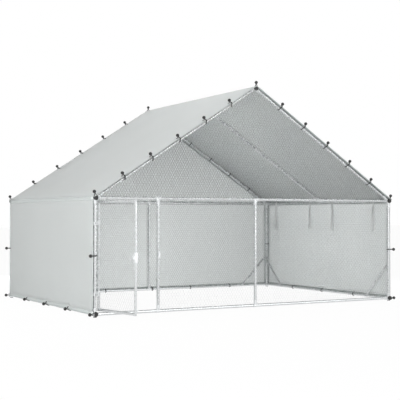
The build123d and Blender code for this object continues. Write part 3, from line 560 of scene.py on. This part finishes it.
def bungeePlaces():  # each place is a point on a pole, the way out and the way in along the cover
    places = {"stub": [], "rafter": [], "post": [], "base": []}
    for end, y in ((-1, frontY), (1, rearY)):
        stub = Vector((0, end * bungee["stubPlace"], 0))
        inside = Vector((0, -end, 0))
        ridge = Vector((centreX, y, ridgeZ))
        places["stub"].append((ridge + stub, up, right))
        for side, x in sides.values():
            outward = Vector((side, 0, 0))
            roofNormal = Vector((side * roofSin, 0, roofCos))
            eave = Vector((x, y, eaveZ))
            for count in range(1, bungee["rafterSpaces"]):
                point = eave + (ridge - eave) * (count / bungee["rafterSpaces"])
                places["rafter"].append((point, roofNormal, inside))
            places["post"].append((Vector((x, y, bungee["postHeight"])), outward, inside))
            lean = (up + outward * bungee["lean"]).normalized()
            places["stub"].append((eave + stub, lean, lean.cross(back)))
            places["stub"].append((Vector((x, y, baseZ)) + stub, outward, up))
    for side, x in sides.values():
        for count in range(1, bungee["sideSpaces"]):
            y = frontY + count * 2 * halfDepth / bungee["sideSpaces"]
            places["base"].append((Vector((x, y, baseZ)), Vector((side, 0, 0)), up))
    for count in range(1, bungee["rearSpaces"]):
        x = leftX + count * 2 * halfWidth / bungee["rearSpaces"]
        if abs(x - centreX) < bungee["rearShift"]:  # clear of the rear middle post
            x = centreX + bungee["rearShift"]
        places["base"].append((Vector((x, rearY, baseZ)), back, up))
    return places


def turnOf(outward, inward):
    across = outward.cross(inward)
    return Matrix([[inward[row], across[row], outward[row]] for row in range(3)]).to_euler()


def placeMesh(name, places):
    mesh = bpy.data.meshes.new(name)
    mesh.from_pydata([point for point, outward, inward in places], [], [])
    turns = mesh.attributes.new("turn", "FLOAT_VECTOR", "POINT")
    for item, (point, outward, inward) in zip(turns.data, places):
        item.vector = turnOf(outward, inward)
    return mesh


def copiesTree():
    tree, start, end = newGroup(
        "copiesOnPlaces",
        [("Geometry", geometrySocket), ("Piece", "NodeSocketObject"), ("Finish", materialSocket)],
        [("Geometry", geometrySocket)], "GeometryNodeTree",
    )
    take = start.outputs
    info = addNode(tree, "GeometryNodeObjectInfo", (-600, -200), {"Object": take["Piece"]})
    turn = addNode(tree, "GeometryNodeInputNamedAttribute", (-600, -500), {"Name": "turn"},
                   data_type="FLOAT_VECTOR")
    copies = addNode(tree, "GeometryNodeInstanceOnPoints", (-200, 0), {
        "Points": take["Geometry"], "Instance": info.outputs["Geometry"], "Rotation": turn.outputs[0]})
    whole = addNode(tree, "GeometryNodeRealizeInstances", (200, 0), {0: copies.outputs[0]})
    finish = addNode(tree, "GeometryNodeSetMaterial", (500, 0), {
        "Geometry": whole.outputs[0], "Material": take["Finish"]})
    return fillGroup(tree, end, {"Geometry": finish.outputs[0]})


placesTree = copiesTree()


def copiesOf(name, source, places, material, replaced):
    sourceObject = linked(name + "Source", source)
    values = {"Piece": sourceObject, "Finish": material}
    mesh = withModifier(name, placeMesh(name, places), placesTree, values)
    bpy.data.objects.remove(sourceObject)
    return finished(name, mesh, material, "frame", replaced)


def lathe(name, profile, steps):
    mergeGap = 1e-6
    shape = bmesh.new()
    verts = [shape.verts.new((radius, 0, height)) for radius, height in profile]
    edges = [shape.edges.new(pair) for pair in zip(verts, verts[1:])]
    bmesh.ops.spin(shape, geom=verts + edges, cent=(0, 0, 0), axis=up, angle=2 * math.pi, steps=steps)
    bmesh.ops.remove_doubles(shape, verts=shape.verts, dist=mergeGap)
    bmesh.ops.recalc_face_normals(shape, faces=shape.faces)
    for face in shape.faces:
        face.smooth = True
    return meshFrom(name, shape)


def ballProfile():  # a socket for the cord below, a moulding seam round the middle, a dimple on top
    radius, steps = bungee["ball"], bungee["ballSteps"]
    points = [(0.0004, -radius + 0.0035), (0.0032, -radius + 0.003), (0.0042, -radius + 0.00075)]
    for step in range(2, steps - 1):
        angle = -math.pi / 2 + math.pi * step / steps
        swell = 1 + bungee["seamSwell"] * math.exp(-((angle / bungee["seamWidth"]) ** 2))
        points.append((radius * swell * math.cos(angle), radius * math.sin(angle)))
    return points + [(0.003, radius - 0.0002), (0.0026, radius - 0.0006), (0.0, radius - 0.0006)]


def standoffOf(kind):
    return bungee["cornerStandoff"] if kind == "stub" else bungee["standoff"]


def leadOf(kind):
    return bungee["lead"] if kind in ("rafter", "post") else 0


def cordPins(kind):  # what the cord runs round: place along, place out, radius
    cord = bungee["cord"]
    bend = cord + bungee["bendGap"]
    pole = sleeveRadius if kind == "stub" else tubeRadius
    neckRise = standoffOf(kind) - bungee["ball"] - bungee["neckIn"]
    pins = [(strandShift - leadOf(kind), neckRise, 0)]
    if kind != "stub":
        pins.append((bungee["eyeletPlace"] - bend, coverOffset, bend))
    pins.append((0, 0, pole + bungee["clear"] + cord))
    if kind == "rafter":
        pins.append((-roofOverhang, coverOffset, bend))
    return pins + [(-strandShift - leadOf(kind), neckRise, 0)]


def runNormal(pin, other):
    x, y = other[0] - pin[0], other[1] - pin[1]
    length = math.hypot(x, y)
    slant = (pin[2] - other[2]) / length
    across = math.sqrt(1 - slant ** 2)
    return (x * slant - y * across) / length, (y * slant + x * across) / length


def cordRoute(kind):  # straight runs that touch the pins, with an arc round each
    pins = cordPins(kind)
    normals = [runNormal(pin, other) for pin, other in zip(pins, pins[1:])]
    route = [pins[0][:2]]
    for pin, before, after in zip(pins[1:-1], normals, normals[1:]):
        first = math.atan2(before[1], before[0])
        sweep = (first - math.atan2(after[1], after[0])) % (2 * math.pi)
        steps = max(2, math.ceil(sweep / bungee["bendStep"]))
        for step in range(steps + 1):
            angle = first - sweep * step / steps
            route.append((pin[0] + pin[2] * math.cos(angle), pin[1] + pin[2] * math.sin(angle)))
    return route + [pins[-1][:2]]


def loopMesh(kind):
    route = cordRoute(kind)
    points = [(x, -strandShift, y) for x, y in route] + [(x, strandShift, y) for x, y in reversed(route)]
    curve = bpy.data.curves.new("elasticLoop", "CURVE")
    curve.dimensions = "3D"
    curve.bevel_depth = bungee["cord"]
    curve.bevel_resolution = 3
    curve.use_fill_caps = True
    spline = curve.splines.new("POLY")
    spline.points.add(len(points) - 1)
    for point, place in zip(spline.points, points):
        point.co = (*place, 1)
    mesh = evaluatedMesh(linked("elasticLoop", curve))
    for polygon in mesh.polygons:
        polygon.use_smooth = True
    return mesh


bungees = bungeePlaces()
ballPlaces = []
for kind, places in bungees.items():
    for point, outward, inward in places:
        ballPlaces.append((point + outward * standoffOf(kind) - inward * leadOf(kind), outward, inward))
    copiesOf(f"{kind}Loops", loopMesh(kind), places, elasticMaterial, "bungee_loops")
ball = lathe("ball", ballProfile(), bungee["ballSides"])
copiesOf("bungeeBalls", ball, ballPlaces, ballMaterial, "bungee_balls")
railPlaces = bungees["rafter"] + bungees["post"] + bungees["base"]
print("bungees made:", len(ballPlaces))

cloth = {"thickness": 0.0006, "step": 0.06, "hem": 0.028, "hemRise": 0.0006, "bulge": 0.0022, "drift": 0.0007,
         "driftScale": 2.3, "sideSeed": 3, "rearSeed": 9, "eyelet": 0.0105, "eyeletSides": 20,
         "eyeletHole": 0.006, "holeSides": 16, "holeDepth": 0.02}
hemWidth = cloth["hem"]


def lobe(value, marks):
    for low, high in zip(marks, marks[1:]):
        if low <= value <= high:
            return math.sin(math.pi * (value - low) / (high - low)) ** 2
    return 0.0


def spaced(low, high):
    count = max(1, round((high - low) / cloth["step"]))
    return [low + (high - low) * index / count for index in range(1, count)]


def clothMesh(name, outline, columns, rows, shapeOf):
    shape = bmesh.new()
    shape.faces.new([shape.verts.new((x, y, 0)) for x, y in outline])
    for axis, values in ((right, columns), (back, rows)):
        for value in values:
            bmesh.ops.bisect_plane(shape, geom=shape.verts[:] + shape.edges[:] + shape.faces[:],
                                   plane_co=axis * value, plane_no=axis)
    layer = shape.loops.layers.uv.new("cloth")
    for face in shape.faces:
        face.smooth = True
        for loop in face.loops:
            loop[layer].uv = loop.vert.co.xy
    for vert in shape.verts:
        vert.co = shapeOf(vert.co.x, vert.co.y)
    return meshFrom(name, shape)


def thickened(name, mesh, thickness, smoothing=0):
    piece = linked(name + "Flat", mesh)
    if smoothing:
        smooth = piece.modifiers.new("smooth", "SUBSURF")
        smooth.levels = smooth.render_levels = smoothing
    thick = piece.modifiers.new("thick", "SOLIDIFY")
    thick.thickness = thickness
    thick.offset = 0
    return evaluatedMesh(piece)


def holed(name, mesh, holes):
    solid = thickened(name, mesh, cloth["thickness"])
    radius = cloth["eyeletHole"]
    cutter = bmesh.new()
    for point, outward, inward in holes:
        matrix = Matrix.Translation(point) @ turnOf(outward, inward).to_matrix().to_4x4()
        bmesh.ops.create_cone(cutter, segments=cloth["holeSides"], radius1=radius, radius2=radius,
                              depth=cloth["holeDepth"], cap_ends=True, matrix=matrix)
    cutObject = linked(name + "Cut", meshFrom(name + "Cut", cutter))
    piece = linked(name + "Solid", solid)
    boolean = piece.modifiers.new("holes", "BOOLEAN")
    boolean.operation = "DIFFERENCE"
    boolean.object = cutObject
    boolean.solver = "EXACT"
    result = evaluatedMesh(piece)
    bpy.data.objects.remove(cutObject)
    return result


def eyeletAt(place):
    point, outward, inward = place
    return (point + outward * coverOffset + inward * bungee["eyeletPlace"], outward, inward)


def holesFacing(direction):
    facing = 0.7  # walls face their own direction fully, roof slopes face up by more than this
    return [eyeletAt(place) for place in railPlaces if place[1].dot(direction) > facing]


def eyeletProfile():  # a rolled rim on the outside, a flat washer inside
    outer = cloth["eyelet"]
    inner = cloth["eyeletHole"] - 0.0003
    rise = cloth["thickness"] / 2
    return [(inner, -rise - 0.0006), (inner - 0.0002, 0), (inner + 0.0002, rise + 0.0009),
            (inner + 0.0014, rise + 0.0014), (outer - 0.0012, rise + 0.0009), (outer, rise + 0.0001),
            (outer, -rise), (outer - 0.001, -rise - 0.0007), (inner, -rise - 0.0006)]


def uvFace(shape, layer, corners):
    face = shape.faces.new([vert for vert, u, v in corners])
    for loop, (vert, u, v) in zip(face.loops, corners):
        loop[layer].uv = (u, v)
    return face


def bandMesh(name, runs, shapeOf):  # a flat band to the left of each run, just proud of the cloth
    probe = 0.002
    rise = cloth["thickness"] / 2 + cloth["hemRise"]
    section = [(0.0, rise), (hemWidth / 2, rise), (hemWidth, rise)]
    section += [(across, -rise) for across, lift in reversed(section)]
    edgeFaces = (2, 5)
    shape = bmesh.new()
    layer = shape.loops.layers.uv.new("cloth")
    for (x0, y0), (x1, y1) in runs:
        length = math.hypot(x1 - x0, y1 - y0)
        wayX, wayY = (x1 - x0) / length, (y1 - y0) / length
        count = max(2, round(length / cloth["step"]))
        rings = []
        for index in range(count + 1):
            far = length * index / count
            ring = []
            for across, lift in section:
                x = x0 + wayX * far - wayY * across
                y = y0 + wayY * far + wayX * across
                spot = shapeOf(x, y)
                nearX = shapeOf(x + probe, y) - spot
                nearY = shapeOf(x, y + probe) - spot
                ring.append((shape.verts.new(spot + nearX.cross(nearY).normalized() * lift), far, across))
            rings.append(ring)
        for first, second in zip(rings, rings[1:]):
            for here in range(len(section)):
                there = (here + 1) % len(section)
                face = uvFace(shape, layer, [first[here], second[here], second[there], first[there]])
                face.smooth = here not in edgeFaces
        for ring in (rings[0], rings[-1]):
            shape.faces.new([vert for vert, u, v in ring])
    bmesh.ops.recalc_face_normals(shape, faces=shape.faces)
    return meshFrom(name, shape)


def flatShape(matrix, marksX, marksY, seed):
    def shapeOf(x, y):
        scale = cloth["driftScale"]
        swell = cloth["bulge"] * lobe(x, marksX) * lobe(y, marksY)
        swell += cloth["drift"] * noise.noise(Vector((x * scale, y * scale, seed)))
        return matrix @ Vector((x, y, swell))
    return shapeOf


def coverPanel(name, node, outline, columns, rows, shapeOf, holes, hemRuns):
    mesh = holed(name, clothMesh(name, outline, columns, rows, shapeOf), holes)
    sheet = finished(name, mesh, coverMaterial, "frame", node)
    hemName = name + "Hem"
    hem = finished(hemName, bandMesh(hemName, hemRuns, shapeOf), hemMaterial, "frame", None)


def boxRuns(x0, y0, x1, y1):
    return [((x0, y0), (x1, y0)), ((x1, y0 + hemWidth), (x1, y1 - hemWidth)), ((x1, y1), (x0, y1)),
            ((x0, y1 - hemWidth), (x0, y0 + hemWidth))]


edge = halfDepth + sheetEdge
for sideName, (side, sideX) in sides.items():
    low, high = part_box(f"{sideName}_side_cover")
    matrix = panelMatrix(Vector((sideX + side * coverOffset, centreY, 0)), Vector((0, side, 0)), up)
    marksX = [-edge, -halfDepth / 2, 0, halfDepth / 2, edge]
    marksZ = [low.z, bungee["postHeight"], high.z]
    box = (-edge, low.z, edge, high.z)
    coverPanel(f"{sideName}SideCover", f"{sideName}_side_cover", boxOutline(*box), spaced(-edge, edge),
               spaced(low.z, high.z), flatShape(matrix, marksX, marksZ, cloth["sideSeed"] + side),
               holesFacing(Vector((side, 0, 0))), boxRuns(*box))

low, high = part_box("rear_cover")
span = halfWidth + sheetEdge
shoulder = roofHeight(span, sheetEdge)
rearMatrix = panelMatrix(Vector((centreX, rearY + coverOffset, 0)), -right, up)
rearOutline = gableOutline(span, low.z, shoulder, peakZ)
rearRuns = [((-span, low.z), (span, low.z)), ((span, low.z + hemWidth), (span, shoulder - hemWidth)),
            ((span, shoulder), (0, peakZ)), ((0, peakZ), (-span, shoulder)),
            ((-span, shoulder - hemWidth), (-span, low.z + hemWidth))]
rearMarks = [-span, -span / 2, 0, span / 2, span]
coverPanel("rearCover", "rear_cover", rearOutline, spaced(-span, span), spaced(low.z, peakZ),
           flatShape(rearMatrix, rearMarks, [low.z, eaveZ, peakZ], cloth["rearSeed"]), holesFacing(back),
           rearRuns)

roof = {"eaveReach": 0.0182, "ridgeCuts": (0.003, 0.006, 0.012, 0.03), "driftScale": 2.1, "driftSeed": 1.7,
        "driftFade": 0.2}
roofReach = (halfWidth + roof["eaveReach"]) / roofCos
roofEdge = halfDepth + roofOverhang
ridgeStrip = roof["ridgeCuts"][-1]  # finely cut, so that the cloth can round the ridge pole


def roofShape(s, y):  # s runs down both slopes from the ridge
    x = s * roofCos
    drop = abs(x)
    tilt = math.copysign(roofSin, s)
    if drop < ridgeRound:
        drop = x * x / (2 * ridgeRound) + ridgeRound / 2
        tilt = 0
    scale = roof["driftScale"]
    drift = noise.noise(Vector((s * scale, y * scale, roof["driftSeed"])))
    drift *= min(1, abs(s) / roof["driftFade"])
    swell = lobe(abs(s), [ridgeStrip, roofReach / 2, roofReach]) * lobe(y, [-halfDepth, 0, halfDepth])
    swell = cloth["bulge"] * swell + cloth["drift"] * drift
    rise = ridgeZ + coverOffset / roofCos - drop * roofSlope + swell * roofCos
    return Vector((centreX + x + tilt * swell, centreY - y, rise))


roofBox = (-roofReach, -roofEdge, roofReach, roofEdge)
roofColumns = spaced(-roofReach, -ridgeStrip) + spaced(ridgeStrip, roofReach)
roofColumns += [-cut for cut in reversed(roof["ridgeCuts"])] + [0.0, *roof["ridgeCuts"]]
coverPanel("roofCover", "roof_cover", boxOutline(*roofBox), roofColumns, spaced(-roofEdge, roofEdge),
           roofShape, holesFacing(up), boxRuns(*roofBox))

eyelet = lathe("eyelet", eyeletProfile(), cloth["eyeletSides"])
eyeletPlaces = [eyeletAt(place) for place in railPlaces]
copiesOf("coverEyelets", eyelet, eyeletPlaces, hardwareMaterial, None)
print("covers made")

tape = {"width": 0.016, "thickness": 0.0008, "length": 0.29, "spread": 0.025, "crossing": 0.004,
        "clear": 0.0009, "legSteps": 8, "turnSteps": 12, "turn": 1.5 * math.pi, "frontGap": 0.0012,
        "frontCurl": 0.004, "frontWave": 2.6, "backGap": 0.0065, "backClosing": 6, "backCurl": 0.003,
        "backWave": 3.1, "backShift": 1.7, "seedStep": 0.9, "places": (-0.823, -0.192, 0.192, 0.823)}


def tapeRoute(seed):  # up the front leg, over the eave rail and down the back leg: along, depth, rise
    drop, crossing = tape["length"], tape["crossing"]
    bend = tubeRadius + tape["clear"]
    flare = tape["spread"] - crossing
    route = []
    for step in range(tape["legSteps"] + 1):
        share = step / tape["legSteps"]
        below = 1 - share
        curl = tape["frontCurl"] * math.sin(tape["frontWave"] * share + seed) * below
        depth = bend + tape["frontGap"] * below + max(0, curl)
        route.append((-crossing - flare * below, depth, -drop * below))
    for step in range(1, tape["turnSteps"] + 1):
        share = step / tape["turnSteps"]
        angle = tape["turn"] * share
        route.append((crossing * (2 * share - 1), bend * math.cos(angle), bend * math.sin(angle)))
    for step in range(1, tape["legSteps"] + 1):
        share = step / tape["legSteps"]
        curl = tape["backCurl"] * math.sin(tape["backWave"] * share + seed * tape["backShift"])
        depth = tape["backGap"] * min(1, share * tape["backClosing"]) + max(0, curl) * share
        route.append((crossing + flare * share, depth, -bend - (drop - bend) * share))
    return route


def tapeMesh(name, centre, inward, seed):
    route = [centre + Vector((0, along, rise)) + inward * depth for along, depth, rise in tapeRoute(seed)]
    halfTape = tape["width"] / 2
    shape = bmesh.new()
    layer = shape.loops.layers.uv.new("cloth")
    rows = []
    far = 0.0
    for index, point in enumerate(route):
        if index:
            far += (point - route[index - 1]).length
        offsets = [halfTape * part for part in (-1, -0.5, 0, 0.5, 1)]
        rows.append([(shape.verts.new(point + back * offset), far, offset) for offset in offsets])
    for first, second in zip(rows, rows[1:]):
        for here in range(len(first) - 1):
            face = uvFace(shape, layer, [first[here], first[here + 1], second[here + 1], second[here]])
            face.smooth = True
    bmesh.ops.recalc_face_normals(shape, faces=shape.faces)
    return thickened(name, meshFrom(name, shape), tape["thickness"], smoothing=1), far


for sideName, (side, sideX) in sides.items():
    for count, place in enumerate(tape["places"]):
        name = f"{sideName}Tape{count + 1}"
        centre = Vector((sideX, centreY + place, eaveZ))
        mesh, length = tapeMesh(name, centre, Vector((-side, 0, 0)), tape["seedStep"] * count + side)
        piece = finished(name, mesh, tapeMaterial, "frame", "tie_tapes")
print("tapes made")

stage = {"floor": 0.86, "seenFloor": 0.035, "floorGlow": 0.97, "floorHalf": 60, "world": 0.02,
         "worldTint": (0.98, 0.99, 1.0, 1), "aimHeight": 0.7, "cardSize": 6.0}


def seenApart(tree, outputKind, plain, seen):  # camera and mirror rays meet seen, all other light meets plain
    path = addNode(tree, "ShaderNodeLightPath", (-800, 200)).outputs
    mirrored = mathNode(tree, "MAXIMUM", path["Is Glossy Ray"], path["Is Transmission Ray"], (-600, 200))
    share = mathNode(tree, "MAXIMUM", path["Is Camera Ray"], mirrored, (-400, 200))
    mix = addNode(tree, "ShaderNodeMixShader", (0, 0), {0: share, 1: plain.outputs[0], 2: seen.outputs[0]})
    addNode(tree, outputKind, (200, 0), {"Surface": mix.outputs[0]})


def makeFloor():
    shape = bmesh.new()
    bmesh.ops.create_grid(shape, x_segments=1, y_segments=1, size=stage["floorHalf"])
    mesh = meshFrom("floor", shape)
    material = bpy.data.materials.new("paleFloor")
    material.use_nodes = True
    tree = material.node_tree
    tree.nodes.clear()
    matte = addNode(tree, "ShaderNodeBsdfDiffuse", (-200, 200), {"Color": grey(stage["floor"])})
    shade = addNode(tree, "ShaderNodeBsdfDiffuse", (-400, 0), {"Color": grey(stage["seenFloor"])})
    glow = addNode(tree, "ShaderNodeEmission", (-400, -200), {
        "Color": grey(1), "Strength": stage["floorGlow"]})
    white = addNode(tree, "ShaderNodeAddShader", (-200, -100), {0: shade.outputs[0], 1: glow.outputs[0]})
    seenApart(tree, "ShaderNodeOutputMaterial", matte, white)
    mesh.materials.append(material)
    linked("floor", mesh)


def makeWorld():
    world = bpy.data.worlds.new("studio")
    scene.world = world
    world.use_nodes = True
    tree = world.node_tree
    tree.nodes.clear()
    light = addNode(tree, "ShaderNodeBackground", (-200, 0), {
        "Color": stage["worldTint"], "Strength": stage["world"]})
    white = addNode(tree, "ShaderNodeBackground", (-200, -150), {"Color": grey(1), "Strength": 1.0})
    seenApart(tree, "ShaderNodeOutputWorld", light, white)


def areaLight(name, place, target, size, power, spread=180, card=False):
    data = bpy.data.lights.new(name, "AREA")
    data.shape = "SQUARE"
    data.size = size
    data.energy = power
    data.spread = math.radians(spread)
    light = linked(name, data)
    light.location = place
    light.rotation_euler = (Vector(target) - Vector(place)).to_track_quat("-Z", "Y").to_euler()
    light.visible_glossy = card  # a card shows in the metal and lights nothing else
    light.visible_diffuse = not card
    light.visible_transmission = not card


makeFloor()
makeWorld()
aim = (centreX, centreY, stage["aimHeight"])
lamps = {  # place, target, size, power, spread in degrees
    "frontKey": ((-3.0, -8.5, 2.2), aim, 5.0, 820),
    "leftFill": ((-8.0, -1.0, 2.6), aim, 4.0, 420),
    "topFill": ((centreX, centreY, 5.0), aim, 3.0, 82),
    "rightBack": ((5.5, 1.0, 0.4), (rightX, centreY, 0.5), 0.7, 56),
    "rightTop": ((6.0, 1.0, 4.0), (1.6, centreY, 1.9), 2.0, 15, 34),
    "rearBack": ((0.7, 5.2, 0.4), (centreX - 0.4, rearY, 0.35), 0.7, 92),
}
for name, settings in lamps.items():
    areaLight(name, *settings)
cards = {"leftCard": ((-3.0, -9.0, 1.6), 45), "rightCard": ((6.0, -8.0, 2.2), 300)}  # place, power
for name, (place, power) in cards.items():
    areaLight(name, place, aim, stage["cardSize"], power, card=True)
print("stage made")
